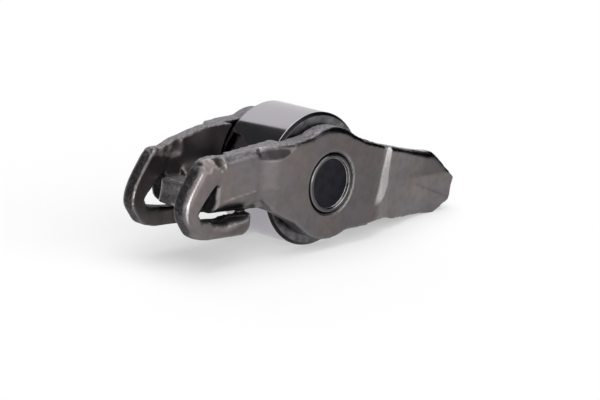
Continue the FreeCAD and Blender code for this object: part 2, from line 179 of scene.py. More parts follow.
class StageSettings(bpy.types.PropertyGroup):
    floor_size: bpy.props.FloatProperty(
        name="Floor size", description="Width of the floor", default=4.0, unit="LENGTH")
    floor_colour: bpy.props.FloatVectorProperty(
        name="Floor", description="Colour of the floor", subtype="COLOR",
        default=(0.95, 0.95, 0.95), min=0, max=1)
    floor_glow: bpy.props.FloatProperty(
        name="Floor glow", description="Share of plain white in the floor as it is seen",
        default=0.42, min=0, max=1, subtype="FACTOR")
    camera_place: bpy.props.FloatVectorProperty(
        name="Camera place", description="Where the camera stands", subtype="TRANSLATION",
        default=(-0.22168, -0.21107, 0.07664))
    camera_turn: bpy.props.FloatVectorProperty(
        name="Camera turn", description="The camera's rotation", subtype="EULER",
        default=tuple(math.radians(angle) for angle in (75.3051, -2.2006, -46.1097)))
    camera_lens: bpy.props.FloatProperty(
        name="Lens", description="Focal length in millimetres", default=150.0,
        unit="CAMERA")


# Meshes
def new_piece(name, mesh, material, body, node):
    """Link a finished mesh as the piece that stands for a CAD node."""
    piece = bpy.data.objects.new(name, mesh)
    bpy.context.scene.collection.objects.link(piece)
    piece.data.materials.append(material)
    piece.data.shade_smooth()
    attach(piece, body)
    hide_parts(node)
    return piece


def to_mesh(bm, name):
    """Turn a finished bmesh into a named mesh."""
    mesh = bpy.data.meshes.new(name)
    bm.to_mesh(mesh)
    bm.free()
    return mesh


def rebuilt(mesh, voxel):
    """A mesh's surface made anew on an even grid of voxels."""
    carrier = bpy.data.objects.new("carrier", mesh)
    bpy.context.scene.collection.objects.link(carrier)
    remesh = carrier.modifiers.new("Remesh", "REMESH")
    remesh.mode, remesh.voxel_size = "VOXEL", voxel
    graph = bpy.context.evaluated_depsgraph_get()
    made = bpy.data.meshes.new_from_object(carrier.evaluated_get(graph))
    bpy.data.objects.remove(carrier)
    bpy.data.meshes.remove(mesh)
    return made


def turned(profile, steps, closed=False):
    """Spin a profile of (radius, y) pairs, in metres, about the Y axis.

    A ring's profile is closed, and a solid piece's starts and ends on the axis.
    """
    bm = bmesh.new()
    points = [bm.verts.new((radius, y, 0)) for radius, y in profile]
    ends = points[1:] + points[:1] if closed else points[1:]
    edges = [bm.edges.new(pair) for pair in zip(points, ends)]
    bmesh.ops.spin(bm, geom=points + edges, cent=(0, 0, 0), axis=(0, 1, 0),
                   dvec=(0, 0, 0), angle=math.tau, steps=steps, use_merge=True)
    bmesh.ops.remove_doubles(bm, verts=bm.verts, dist=1e-7)
    bmesh.ops.recalc_face_normals(bm, faces=bm.faces)
    return bm


def eased_profile(side, steps=4):
    """Profile of a turned piece from the corners of its upper half, mirrored below.

    A corner is (radius, y, rounding). One that has a rounding becomes a short arc of points.
    """
    corners = side + [(radius, -y, rounding) for radius, y, rounding in reversed(side)]
    places = [Vector(corner[:2]) for corner in corners]
    made = []
    for index, here in enumerate(places):
        rounding = corners[index][2]
        if not rounding:
            made.append(tuple(here))
            continue
        back = (places[index - 1] - here).normalized()
        on = (places[(index + 1) % len(places)] - here).normalized()
        reach = rounding / math.tan(back.angle(on) / 2)
        start, end = here + back * reach, here + on * reach
        for step in range(steps + 1):
            part = step / steps
            made.append(tuple((1 - part) ** 2 * start + 2 * part * (1 - part) * here
                              + part ** 2 * end))
    return made


# Node materials
class Tree:
    """A material's or world's node tree, with short calls to add to it."""

    def __init__(self, owner):
        owner.use_nodes = True
        self.tree = owner.node_tree
        self.tree.nodes.clear()

    def add(self, kind, inputs=(), **settings):
        """New node, each input given as a value or as the socket that feeds it."""
        node = self.tree.nodes.new(kind)
        for key, value in settings.items():
            setattr(node, key, value)
        for name, value in dict(inputs).items():
            socket = node.inputs[name]
            if isinstance(value, bpy.types.NodeSocket):
                self.tree.links.new(value, socket)
            else:
                socket.default_value = value
        return node

    def math(self, operation, *values, clamp=False):
        node = self.add("ShaderNodeMath", enumerate(values), operation=operation)
        node.use_clamp = clamp
        return node.outputs[0]

    def step(self, value, low, high, start=0.0, end=1.0):
        """Smooth step of a value between two limits."""
        node = self.add("ShaderNodeMapRange", {
            "Value": value, "From Min": low, "From Max": high, "To Min": start,
            "To Max": end}, interpolation_type="SMOOTHSTEP")
        return node.outputs[0]

    def mix(self, factor, first, second):
        """Blend of two colours, each a socket or three numbers."""
        def full(colour):
            return colour if isinstance(colour, bpy.types.NodeSocket) else (*colour, 1)
        node = self.add("ShaderNodeMix", {0: factor, 6: full(first), 7: full(second)},
                        data_type="RGBA")
        return node.outputs[2]

    def noise(self, place, scale, detail=3.0, rough=0.55):
        node = self.add("ShaderNodeTexNoise", {
            "Vector": place, "Scale": scale, "Detail": detail, "Roughness": rough})
        return node.outputs[0]

    def attribute(self, name):
        return self.add("ShaderNodeAttribute", attribute_name=name).outputs["Fac"]


def place_in_mm(tree, stretch=(1, 1, 1), pitch=0.0):
    """Object coordinates in millimetres, stretched along each axis and tipped about Y."""
    source = tree.add("ShaderNodeTexCoord").outputs["Object"]
    return tree.add("ShaderNodeMapping", {
        "Vector": source, "Scale": tuple(part / MM for part in stretch),
        "Rotation": (0, pitch, 0)}).outputs[0]


def axle_radius(tree):
    """Distance from the axle's middle line, in millimetres."""
    flat = place_in_mm(tree, (1, 0, 1))
    return tree.add("ShaderNodeVectorMath", {0: flat}, operation="LENGTH").outputs["Value"]


def shade(colour, share):
    """A colour made darker or lighter by a share."""
    return tuple(share * part for part in colour)


def new_material(name):
    """An empty material and its node tree."""
    material = bpy.data.materials.new(name)
    return material, Tree(material)


def finish_metal(tree, colour, rough, bumps):
    """Metal shader with colour, roughness and a list of (height, distance in metres)."""
    surface = {}
    for height, distance in bumps:
        bump = tree.add("ShaderNodeBump", {
            "Height": height, "Distance": distance, "Strength": 1.0, **surface})
        surface = {"Normal": bump.outputs[0]}
    shader = tree.add("ShaderNodeBsdfPrincipled", {
        "Base Color": colour, "Roughness": rough, "Metallic": 1.0, **surface})
    tree.add("ShaderNodeOutputMaterial", {"Surface": shader.outputs[0]})


def tumbled_steel_with_painted_light(settings):
    """Satin tumbled steel, with worn bright edges and dark mottled sheared faces, and painted
    light and shade: highlights, pale tops, a dark reflection on the rims and shade in recesses.
    """
    material, tree = new_material("tumbled_steel_with_painted_light")
    place = place_in_mm(tree, pitch=-PITCH)
    broad = tree.noise(place, 0.22, detail=2)
    patch = tree.noise(place, 0.9, detail=4)
    grain = tree.noise(place, 7.0)
    speck = tree.noise(place, 2.6, detail=5, rough=0.65)
    # Shares stored on the arm: bare steel with painted highlights, sheared faces, pale tops with
    # painted sheen, painted shade, the painted dark reflection on the rims, and tone with painted
    # shade
    rub_and_highlight, shear, top, painted_shade_share, scale, tone_and_shade = (tree.attribute(name) for name in WEAR_AND_LIGHT)
    colour = tree.mix(tree.step(broad, 0.40, 0.62), settings.steel, settings.warm)
    clouds = tree.math("MULTIPLY", tree.step(patch, 0.35, 0.7), 0.35)
    colour = tree.mix(clouds, colour, shade(settings.steel, 0.72))
    colour = tree.add("ShaderNodeVectorMath", {0: colour, "Scale": tone_and_shade},
                      operation="SCALE").outputs[0]
    mottle = tree.math("MULTIPLY", shear, tree.step(speck, 0.32, 0.60, 0.45, 1.0), clamp=True)
    # Pale top faces, partly their finish and partly painted sheen
    pale_and_sheen = tree.math("MULTIPLY", top, tree.step(speck, 0.35, 0.65, 0.35, 0.9))
    # Painted shade in the hooks' windows, under the walls, in the scoops and round the pin's seat
    painted_shade = tree.math("MULTIPLY", painted_shade_share, 0.85)
    # Painted dark reflection on the outer rolled top rims
    dark = tree.math("MULTIPLY", scale, 0.92)
    # Bare steel on worn edges, with painted highlights
    worn = tree.math("MULTIPLY", rub_and_highlight, tree.step(speck, 0.25, 0.55, 0.45, 1.0), clamp=True)
    for share, tint in ((mottle, settings.sheared), (pale_and_sheen, settings.top_face_and_sheen),
                        (painted_shade, settings.painted_shade), (dark, settings.scale),
                        (worn, settings.rubbed_and_highlit)):
        colour = tree.mix(share, colour, tint)
    rough = tree.math("ADD", tree.step(patch, 0.3, 0.7, 0.34, 0.44),
                      tree.math("MULTIPLY", shear, 0.14))
    rough = tree.math("SUBTRACT", rough, tree.math("MULTIPLY", worn, 0.12))
    rough = tree.math("SUBTRACT", rough, tree.math("MULTIPLY", scale, 0.16))
    coarse = tree.math("MULTIPLY", tree.noise(place, 1.6, detail=4, rough=0.6), shear)
    finish_metal(tree, colour, rough, [(coarse, 0.25 * MM), (grain, 0.012 * MM)])
    return material


def polished_steel(settings):
    """Ground and polished steel, its faint grinding marks running round the roller."""
    material, tree = new_material("polished_steel")
    marks = tree.noise(place_in_mm(tree, (0.2, 9, 0.2)), 1.0)
    haze = tree.noise(place_in_mm(tree), 0.35)
    colour = tree.mix(tree.math("MULTIPLY", marks, 0.2), settings.ring_steel,
                      shade(settings.ring_steel, 0.85))
    rough = tree.step(haze, 0.3, 0.7, 0.08, 0.12)
    finish_metal(tree, colour, rough, [(marks, 0.0004 * MM)])
    return material


def ring_side_steel(settings):
    """Satin side faces of the roller, turned rather than polished, with a dark chamfer."""
    material, tree = new_material("ring_side_steel")
    place = place_in_mm(tree)
    grain = tree.noise(place, 5.0)
    patch = tree.noise(place, 0.8)
    colour = tree.mix(tree.step(patch, 0.35, 0.65), settings.side_steel, settings.side_patch)
    edge = (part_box("roller")[1].x - settings.chamfer) / MM
    colour = tree.mix(tree.step(axle_radius(tree), edge - 0.02, edge + 0.08), colour,
                      settings.chamfer_steel)
    finish_metal(tree, colour, tree.step(patch, 0.3, 0.7, 0.28, 0.4), [(grain, 0.01 * MM)])
    return material


# Zones of the pin's end: the radius where each starts, in millimetres, and its share of the
# ground rim's colour, from the dish's lip, painted bright as a highlight, out to the seam against
# the arm, painted dark as shade
PIN_ZONES_LIT_AND_SHADED = ((3.18, 5.0), (3.27, 0.6), (3.55, 1.3), (3.68, 0.1))


def pin_steel(settings):
    """Dark, dished pin ends with a brighter ground rim, a painted highlight on the dish's lip and
    painted shade in the seam against the arm.
    """
    material, tree = new_material("pin_steel")
    place = place_in_mm(tree)
    radius = axle_radius(tree)
    patch = tree.noise(place, 0.7)
    grain = tree.noise(place, 6.0)
    colour = tree.mix(tree.step(patch, 0.35, 0.65), settings.pin_steel,
                      shade(settings.pin_steel, 1.5))
    # Rings of the rim colour, with a painted highlight on the lip and painted shade in the seam
    for start, share in PIN_ZONES_LIT_AND_SHADED:
        colour = tree.mix(tree.step(radius, start - 0.03, start + 0.03), colour,
                          shade(settings.rim_steel, share))
    finish_metal(tree, colour, tree.step(patch, 0.3, 0.7, 0.16, 0.26), [(grain, 0.004 * MM)])
    return material


# The arm: a rebuilt, softened copy of the CAD arm, worked like a tumbled stamping
def level_copy():
    """Merged copy of the CAD arm in millimetres in its level frame."""
    bm = bmesh.new()
    bm.from_mesh(frame["nodes"]["arm"].data)
    bmesh.ops.remove_doubles(bm, verts=bm.verts, dist=0.001 * MM)
    turn = Matrix.Rotation(-PITCH, 4, "Y")
    bmesh.ops.transform(bm, matrix=Matrix.Scale(1 / MM, 4) @ turn, verts=bm.verts)
    return bm


def neighbours(vert):
    return [edge.other_vert(vert) for edge in vert.link_edges]


def sharp_verts(bm, angle):
    """Vertices whose normal turns from a neighbour's by more than an angle in degrees."""
    limit = math.cos(math.radians(angle))
    return {vert for vert in bm.verts
            if any(vert.normal.dot(other.normal) < limit for other in neighbours(vert))}


def grown(verts, rings):
    """Vertices with the rings of neighbours round them."""
    found = set(verts)
    edge = found
    for _ in range(rings):
        edge = {other for vert in edge for other in neighbours(vert)} - found
        found |= edge
    return found


def soften(bm, verts, passes, keep=0.0):
    """Even out a patch of the surface, each pass followed by a push back that keeps its bulk."""
    verts = list(verts)
    for _ in range(passes):
        for factor in (0.5, -keep) if keep else (0.5,):
            bmesh.ops.smooth_vert(bm, verts=verts, factor=factor, use_axis_x=True,
                                  use_axis_y=True, use_axis_z=True)


# Broken lines along the arm, in millimetres: half its width, its top, and the top of the bars
# under the hooks' windows
HALF_WIDTH = ((-99, 5.9), (-11.2, 5.9), (-9.5, 7.365), (9.4, 7.365), (12.8, 5.75),
              (23.2, 4.2), (28.3, 3.4))
TOP_LINE = ((-20.95, 3.95), (-18.35, 4.25), (-8.5, 5.6), (-3.7, 6.05), (3.7, 6.05),
            (5.9, 4.95), (10.0, 4.05), (23.2, 1.5), (28.3, -2.1))
BAR_LINE = ((-19.0, -4.08), (-16.0, -4.02), (-12.2, -3.2), (-11.0, -3.1))
# The belly's crease, and the upper and lower crease of the wedge at the tongue's end
CREASE = ((-18.5, -1.35), (-5.5, 0.795))
WEDGE_TOP = ((19.3, -1.2), (27.8, -1.55))
WEDGE_FOOT = ((19.3, -2.1), (27.8, -4.8))
# Radius of the rolled top rims, and how far the far wall's is rolled beside the near wall's
ROLL = ((-19.5, 0.1), (-17.5, 0.9), (-12.0, 1.0), (-9.0, 0.6), (-7.0, 0.42), (-3.5, 0.5),
        (-0.5, 0.85), (1.0, 0.95), (3.2, 0.95), (5.5, 0.5),
        (11.0, 0.42), (13.2, 0.75), (22.0, 0.72), (24.5, 0.35), (28.0, 0.1))
FAR_ROLL = 0.4
# How far the worn part's wall tops lie above the blank's
NEAR_TOP = ((-19.5, 0.0), (-16.5, -0.3), (-7.5, -0.3), (-3.5, 0.0), (21.0, 0.0),
            (23.5, 0.15), (28.0, 0.0))
FAR_TOP = ((-20.5, 0.0), (-19.2, -0.3), (-17.8, 0.0), (-16.4, 0.22), (-15.0, 0.37),
           (-13.7, 0.6), (-12.0, 0.75), (-10.0, 0.62), (-8.0, 0.42), (-4.0, 0.33),
           (-2.0, 0.33), (0.0, 0.14), (2.0, 0.0), (16.0, 0.0), (19.0, -0.3), (21.5, -0.5),
           (25.0, -0.6), (28.0, 0.0))
# Where the hooks end along the arm, the radius of the hub's round top, the distance out from
# which only the hub's faces lie, and half the width of the slot between the walls
HOOKS_END = -18.6
HUB_RADIUS = 7.1
HUB_FACE = 6.6
SLOT_HALF = 4.9
# Range that leaves nothing out
ANY = (-math.inf, math.inf)


def along(line, x):
    """Height of a broken line at a place along the arm."""
    for (start, low), (end, high) in zip(line, line[1:]):
        if x < end:
            return low + (high - low) * max(x - start, 0) / (end - start)
    return line[-1][1]


def ramp(value, start, end):
    """Smooth step from 0 at start to 1 at end."""
    part = min(max((value - start) / (end - start), 0), 1)
    return part * part * (3 - 2 * part)


def fall(value, start, end):
    """Smooth step from 1 at start to 0 at end."""
    return 1 - ramp(value, start, end)


def hump(value, start, full, fade, end):
    """Smooth hump that is 0 up to start, 1 from full to fade, and 0 from end on."""
    return ramp(value, start, full) * fall(value, fade, end)


def lens(value, middle, half):
    """Round hump that is 1 in the middle, 0 at half its length from it, and negative beyond."""
    return 1 - ((value - middle) / half) ** 2


def above(low):
    """Range without an upper end."""
    return low, math.inf


def below(high):
    """Range without a lower end."""
    return -math.inf, high


def depth_in(vert):
    """How far a vertex lies inside the arm's outer side."""
    return along(HALF_WIDTH, vert.co.x) - abs(vert.co.y)


def drop_below(vert):
    """How far a vertex lies inside the walls' top line or the hub's round top."""
    x, _, z = vert.co
    return max(along(TOP_LINE, x) - z, HUB_RADIUS - math.hypot(x, z))


def within(verts, x=ANY, off=ANY, z=ANY, depth=ANY, drop=ANY):
    """Vertices inside every range given; off is the distance from the middle plane."""
    return {vert for vert in verts
            if x[0] < vert.co.x < x[1] and z[0] < vert.co.z < z[1]
            and off[0] < abs(vert.co.y) < off[1]
            and depth[0] < depth_in(vert) < depth[1]
            and drop[0] < drop_below(vert) < drop[1]}


def on_hook(vert):
    """Whether a vertex is on a guide hook or on the bar under its window."""
    x, _, z = vert.co
    return x < HOOKS_END or z < -3.25 and x < -12.0


def facing_in(vert):
    """How squarely a vertex faces the arm's middle plane, from -1 to 1."""
    return -vert.normal.y * math.copysign(1, vert.co.y)


def push_in(vert, distance):
    """Move a vertex of a side wall towards the arm's middle plane."""
    vert.co.y -= math.copysign(distance, vert.co.y)


def cut_edge(vert, depth, drop, deep, tall):
    """Bring a vertex back to the flat that joins depth deep and drop tall, if it lies outside."""
    short = 1 - depth / deep - drop / tall
    if short > 0:
        push_in(vert, 0.5 * short * deep)
        vert.co.z -= 0.5 * short * tall


def lump_at(place, fine):
    """Uneven height at a place, from broad lumps and a share of finer ones."""
    return noise.noise(place * 0.9) + fine * noise.noise(place * 2.2)


def blend_jogs(bm):
    """Let the pivot's jog run out into the flare below it, and soften both jogs."""
    flare = within(bm.verts, x=(7.6, 14.2), z=below(-1.8), depth=below(0.8))
    soften(bm, flare, 30)
    pivot_jog = within(bm.verts, x=(8.9, 13.4), depth=below(0.8))
    valve_jog = within(bm.verts, x=(-12.6, -8.2), z=above(-1.6), depth=below(0.8))
    soften(bm, pivot_jog | valve_jog, 8)


def round_rims(bm, settings):
    """Round the outer rims and the guide hooks, but leave the bars' and belly's rims crisp."""
    bm.normal_update()
    sharp = sharp_verts(bm, 14)
    bars = within(sharp, x=above(-16.8), z=below(-2.9))
    belly = within(sharp, x=(-13.5, -7.5), z=below(-1.5))
    outer = within(sharp, x=below(26.5), depth=below(0.45)) - bars - belly
    soften(bm, grown(outer, 2), settings.rim_rounds, 0.42)
    front = within(sharp, x=below(HOOKS_END), z=above(-5.2))
    soften(bm, grown(front, 3), settings.hook_rounds, 0.30)


def roll_top_rims(bm):
    """Roll the walls' outer top rims over, as the blanking die leaves them."""
    for vert in within(bm.verts, x=above(-19.5)):
        radius = along(ROLL, vert.co.x) * (FAR_ROLL if vert.co.y > 0 else 1)
        across, down = radius - depth_in(vert), radius - drop_below(vert)
        reach = math.hypot(across, down)
        if across > 0 and down > 0 and reach > radius:
            push_in(vert, across * (1 - radius / reach))
            vert.co.z -= down * (1 - radius / reach)
    rolled = within(bm.verts, x=above(-17.5), depth=below(1.4), drop=below(1.4))
    soften(bm, rolled, 6, 0.45)
    beside_hub = within(rolled, x=(-9.0, -1.5))
    soften(bm, beside_hub, 10, 0.35)


def coin_tongue(bm):
    """Lean the tongue's sides in above and below the wedge that runs from its tip."""
    for vert in within(bm.verts, x=above(13.5), depth=below(2.2)):
        x, _, z = vert.co
        lean = hump(x, 13.5, 23.0, 26.0, 28.2) * fall(depth_in(vert), 1.2, 2.2)
        gap = max(z - along(WEDGE_TOP, x), 0.85 * (along(WEDGE_FOOT, x) - z), 0)
        push_in(vert, 0.26 * gap * lean)


def roll_belly(bm):
    """Turn the side walls under, below the crease that climbs from the hook to the jog."""
    wall = within(bm.verts, x=(-18.3, -5.5), z=above(-4.6), depth=below(1.6))
    bars = within(wall, x=below(-11.5), z=below(-3.0))
    for vert in wall - bars:
        x, _, z = vert.co
        gap = max(along(CREASE, x) - z, 0)
        lean = hump(x, -18.3, -16.0, -11.0, -5.5) * fall(depth_in(vert), 0.4, 1.6)
        push_in(vert, 0.30 * gap * lean)


def scoop_jogs(bm):
    """Cut the lens-shaped scoop beside each valve jog's top."""
    for vert in within(bm.verts, depth=above(-0.5)):
        share = lens(vert.co.x, -9.8, 3.3)
        if share > 0:
            cut_edge(vert, depth_in(vert), drop_below(vert), deep=share, tall=1.7 * share)
    beside = within(bm.verts, x=(-13.4, -6.0), depth=below(1.6), drop=(0.2, 2.4))
    soften(bm, beside, 20, 0.3)


def ease_pockets(bm):
    """Soften the relieved pockets inside the walls, beside the hooks' crowns."""
    pockets = within(bm.verts, x=(-19.5, -14.0), off=(3.0, 5.2), z=above(1.2),
                     drop=above(0.3))
    soften(bm, pockets, 16)


def chamfer_bars(bm):
    """Flatten the outer top rim of the bars under the hooks' windows."""
    for vert in within(bm.verts, z=(-5.2, -2.95), depth=below(1.4)):
        part = lens(vert.co.x, -15.4, 3.4)
        if part > 0:
            share = part ** 0.5
            drop = along(BAR_LINE, vert.co.x) - vert.co.z
            cut_edge(vert, depth_in(vert), drop, deep=1.3 * share, tall=0.6 * share)


def batter_crowns(bm):
    """Knock the hooks' crowns about, where the blanked strip was cut off."""
    bm.normal_update()
    for vert in bm.verts:
        x, _, z = vert.co
        crown = lens(x, -19.3, 2.2) - ((z - 3.7) / 1.6) ** 2
        if crown > 0:
            vert.co += vert.normal * 0.20 * min(2 * crown, 1) * lump_at(vert.co, 0.3)


def rough_shear(bm):
    """Uneven the sheared outline faces, as the blanking tool tears them."""
    bm.normal_update()
    for vert in within(bm.verts, depth=below(3.2)):
        torn = ramp(1 - abs(vert.normal.y), 0.5, 0.95)
        if torn:
            vert.co += vert.normal * 0.045 * torn * lump_at(vert.co, 0.5)


def settle(bm):
    """Shift the walls' tops, the hooks and the tongue's end to the places of the worn part.

    Each named share is 1 where its place is shifted in full, by the millimetres beside it.
    """
    bm.normal_update()
    for vert in bm.verts:
        x, y, z = vert.co
        far = ramp(y, -1.0, 1.0)
        top = fall(drop_below(vert), 0.5, 3.0)
        hook = fall(x, -18.5, -16.5)
        tip = ramp(x, 21.0, 26.0)
        corner = ramp(-z, 3.0, 5.0) * ramp(x, 21.5, 24.5)
        brow = hump(x, 17.0, 21.0, 23.0, 27.5) * top * (1 - far)
        crown_back = 0.45 * ramp(z, -0.5, 3.5)
        foot_out = (0.1 + 0.35 * far) * ramp(-z, 1.0, 4.0)
        vert.co.x += 0.28 * tip + 0.4 * corner + 0.4 * brow + hook * (crown_back - foot_out)
        vert.co.z += top * (far * along(FAR_TOP, x) + (1 - far) * along(NEAR_TOP, x))
        if x < -12.0 and -4.6 < z < -2.95:
            bar_top = ramp(vert.normal.z, 0.15, 0.6) * fall(x, -15.5, -12.5)
            vert.co.z += 0.4 * bar_top
        hook_foot = ramp(-z, 4.4, 5.2) * fall(x, -11.5, -10.0)
        vert.co.z -= 0.28 * hook_foot
        tongue_foot = hump(x, 3.0, 8.0, 18.0, 23.0) * ramp(-z, 1.5, 3.5)
        vert.co.z -= (0.12 + 0.22 * far) * tongue_foot + 0.15 * corner


def rest_on_floor(bm):
    """Flatten the little of the worn chin that would dip below the floor."""
    for vert in bm.verts:
        vert.co.z = max(vert.co.z, FLOOR)


# Left and right edges of the painted highlight strip on the pivot's jog, as (height, place along)
HIGHLIGHT_START = ((-3.9, 8.1), (-3.2, 8.6), (-1.5, 9.0), (0.8, 9.4), (2.2, 10.0), (3.4, 10.5))
HIGHLIGHT_END = ((-3.9, 8.4), (-3.4, 9.5), (-2.6, 11.2), (-1.4, 12.2), (0.5, 12.2), (3.4, 12.7))
# Tone of the steel along the arm
TONE = ((-24, 1.06), (-12, 1.12), (-6, 0.90), (2, 0.76), (8, 0.72), (13, 0.94), (20, 0.94),
        (27, 0.84))
# Kinds of wear and of painted light and shade, each a share that is stored on the arm's vertices
WEAR_AND_LIGHT = ("rub_and_highlight", "shear", "top", "painted_shade_share", "scale", "tone_and_shade")


def bulge_at(vert):
    """How far a vertex stands out from its neighbours, as a share of their distance."""
    others = neighbours(vert)
    middle = sum((other.co for other in others), Vector()) / len(others)
    reach = sum((other.co - vert.co).length for other in others) / len(others)
    return (vert.co - middle).dot(vert.normal) / reach


def edge_rub_and_crest_highlight(vert):
    """Share of bare steel on worn convex edges, and of a painted highlight along the hooks'
    crests.
    """
    x, y, z = vert.co
    normal = vert.normal
    convex = min(max(9 * bulge_at(vert) - 0.3, 0), 1)
    rub_and_highlight = convex * (0.1 + 0.7 * fall(x, -12.5, -10.0))
    rub_and_highlight *= 1 - 0.7 * ramp(facing_in(vert), 0.3, 0.8)
    if abs(y) < SLOT_HALF and x > HOOKS_END:
        rub_and_highlight *= 0.1
    if on_hook(vert):
        # Painted highlight along the hooks' crests
        crest = ramp(min(-normal.x, abs(normal.y)), 0.58, 0.68)
        return max(0.35 * rub_and_highlight, 0.95 * crest * (1 - 0.6 * ramp(-z, 3.0, 5.0)))
    if x < -16.6 and z < 1.6:
        rub_and_highlight *= 0.5
    return rub_and_highlight


def painted_strip_highlight(vert):
    """Share of the painted highlight in the bright strip down the pivot's jog."""
    x, _, z = vert.co
    if not 8 < x < 14 or abs(vert.normal.y) <= 0.55:
        return 0.0
    start, end, blur = along(HIGHLIGHT_START, z), along(HIGHLIGHT_END, z), 0.25
    strip = hump(x, start - blur, start + blur, end - blur, end + blur)
    return strip * (0.52 + 0.5 * ramp(z, 0.5, 3.2)) * ramp(z, -3.7, -2.7)


def rub_and_painted_highlight(vert, side):
    """Share of bright steel: bare steel on worn edges, and painted highlights on the hooks'
    crests, the pivot's jog, the tongue's top and the right side of the pin's seat.
    """
    x, y, z = vert.co
    tongue = ramp(vert.normal.z, 0.6, 0.85) * fall(drop_below(vert), 0.6, 1.2)
    tongue *= 0.8 * hump(x, 12, 14, 22, 24)
    # Painted highlight on the right side of the pin's seat
    seat = 0.35 * ramp(x, 1.0, 3.0) * hump(math.hypot(x, z), 4.0, 4.1, 4.15, 4.3)
    if abs(y) < HUB_FACE:
        seat = 0.0
    return max(edge_rub_and_crest_highlight(vert), painted_strip_highlight(vert) * side, tongue, seat)


def scoop_shade_share(x, z):
    """Share of painted shade in the lens-shaped scoop beside the valve jog's top, 1 in its
    middle.
    """
    start, length, widest = -12.1, 4.4, 0.70
    part = (x - start) / length
    if not 0 < part < 1:
        return 0.0
    middle = 4.1 + 0.8 * part
    half = widest * math.sqrt(4 * part * (1 - part))
    return ramp(part, 0.0, 0.2) * fall(abs(z - middle) / half, 0.65, 1.0)


def painted_shade_in(vert, side):
    """Share of painted shade: in the hooks' windows, on the bars' tops beside them, under the
    walls, in the scoops and round the pin's seat.
    """
    x, y, z = vert.co
    normal = vert.normal
    beside_stem = 3.3 < abs(y) < 5.95 and -21.0 < x < -11.5
    window = beside_stem and -2.9 < z < 1.6 and normal.x < -0.5 and x < -17.4
    bar = ramp(normal.z, 0.10, 0.32) if beside_stem and -4.8 < z < -2.4 else 0
    under = ramp(-normal.z, 0.35, 0.75) * fall(x, -13.5, -12.0) * fall(-z, 3.0, 3.4)
    seat = abs(y) > HUB_FACE and math.hypot(x, z) < 4.05
    scoop = scoop_shade_share(x, z - 0.3 * math.copysign(1, y)) * side
    return max(1.0 if window or seat else 0.0, bar, under, scoop)


def painted_dark_rim_on(vert, side):
    """Share of the painted dark reflection on the rolled top rims, which thins out towards the
    hooks.
    """
    x, normal = vert.co.x, vert.normal
    roll = max(along(ROLL, x), 0.55)
    rolled = ramp(normal.z, 0.16, 0.34) * ramp(abs(normal.y), 0.30, 0.50) * side
    left = 0.25 * ramp(x, -12.4, -10.8) + 0.75 * ramp(x, -9.5, -7.5)
    return rolled * fall(drop_below(vert), roll, 1.3 * roll) * left


def wedge_light_and_shade(x, z):
    """Painted light on the coined wedge at the tongue's end: the wedge lighter than the facet
    above it, and painted shade along its lower crease.
    """
    crease = along(WEDGE_TOP, x)
    upper = ramp(z, crease - 0.1, crease + 0.1)
    line = fall(abs(z - along(WEDGE_FOOT, x)), 0.06, 0.22)
    return 1 + ramp(x, 18.0, 20.5) * (0.08 - 0.06 * upper - 0.3 * line)


def tone_and_shade_at(vert, top):
    """Tone of the steel, with painted shade on faces turned inward and in the slot beside the
    roller; also darker low on the hooks and on the far hook.
    """
    x, y, z = vert.co
    # Painted shade on faces turned inward
    inward_shade = ramp(facing_in(vert), 0.5, 0.9)
    tone_and_shade = along(TONE, x) * (1 - 0.35 * inward_shade) * wedge_light_and_shade(x, z)
    if x < -11.5:
        bar = ramp(-z, 3.2, 4.4) * ramp(x, -21.0, -15.0)
        tone_and_shade *= 1 - 0.36 * bar
    if x < -18 and y > 0:
        tone_and_shade *= 0.82
    # Painted shade in the slot beside the roller
    if abs(y) < SLOT_HALF:
        slot = hump(x, -13.8, -10.5, -5.0, -3.0) * (1 - top)
        tone_and_shade *= 1 - 0.75 * slot
    return tone_and_shade


def wear_and_light_at(vert):
    """Share of each kind of wear and of painted light and shade at a vertex, in the order of the
    list of kinds above.
    """
    x, y, z = vert.co
    normal = vert.normal
    side = fall(depth_in(vert), 1.2, 2.0)
    flat = ramp(1 - abs(normal.y), 0.45, 0.85)
    top = flat * ramp(normal.z, 0.5, 0.85)
    tone_and_shade = tone_and_shade_at(vert, top)
    belly = -12.5 < x < -6.0 and z < -1.0
    painted_rim_sheen = -17.5 < x < -10.5
    pallet_end = x < -18.9 and (abs(y) < 3.15 or abs(y) < 3.35 and normal.x < -0.5)
    if belly:
        flat *= 0.25
    # Painted sheen on the upward rims beside the valve jog
    if painted_rim_sheen:
        top = max(top, 0.8 * ramp(normal.z, 0.25, 0.55) * side)
    # Painted light: the pale tops drawn fainter on the far wall
    if y > 0:
        top *= 0.85
    if pallet_end:
        flat, top = 0.15 * flat, 1.1
    return rub_and_painted_highlight(vert, side), flat, top, painted_shade_in(vert, side), painted_dark_rim_on(vert, side), tone_and_shade


def mark_wear_and_light(bm):
    """Store each kind of wear and of painted light and shade on the arm's vertices, for its
    material to read.
    """
    bm.normal_update()
    layers = [bm.verts.layers.float.new(name) for name in WEAR_AND_LIGHT]
    for vert in bm.verts:
        for layer, share in zip(layers, wear_and_light_at(vert)):
            vert[layer] = share


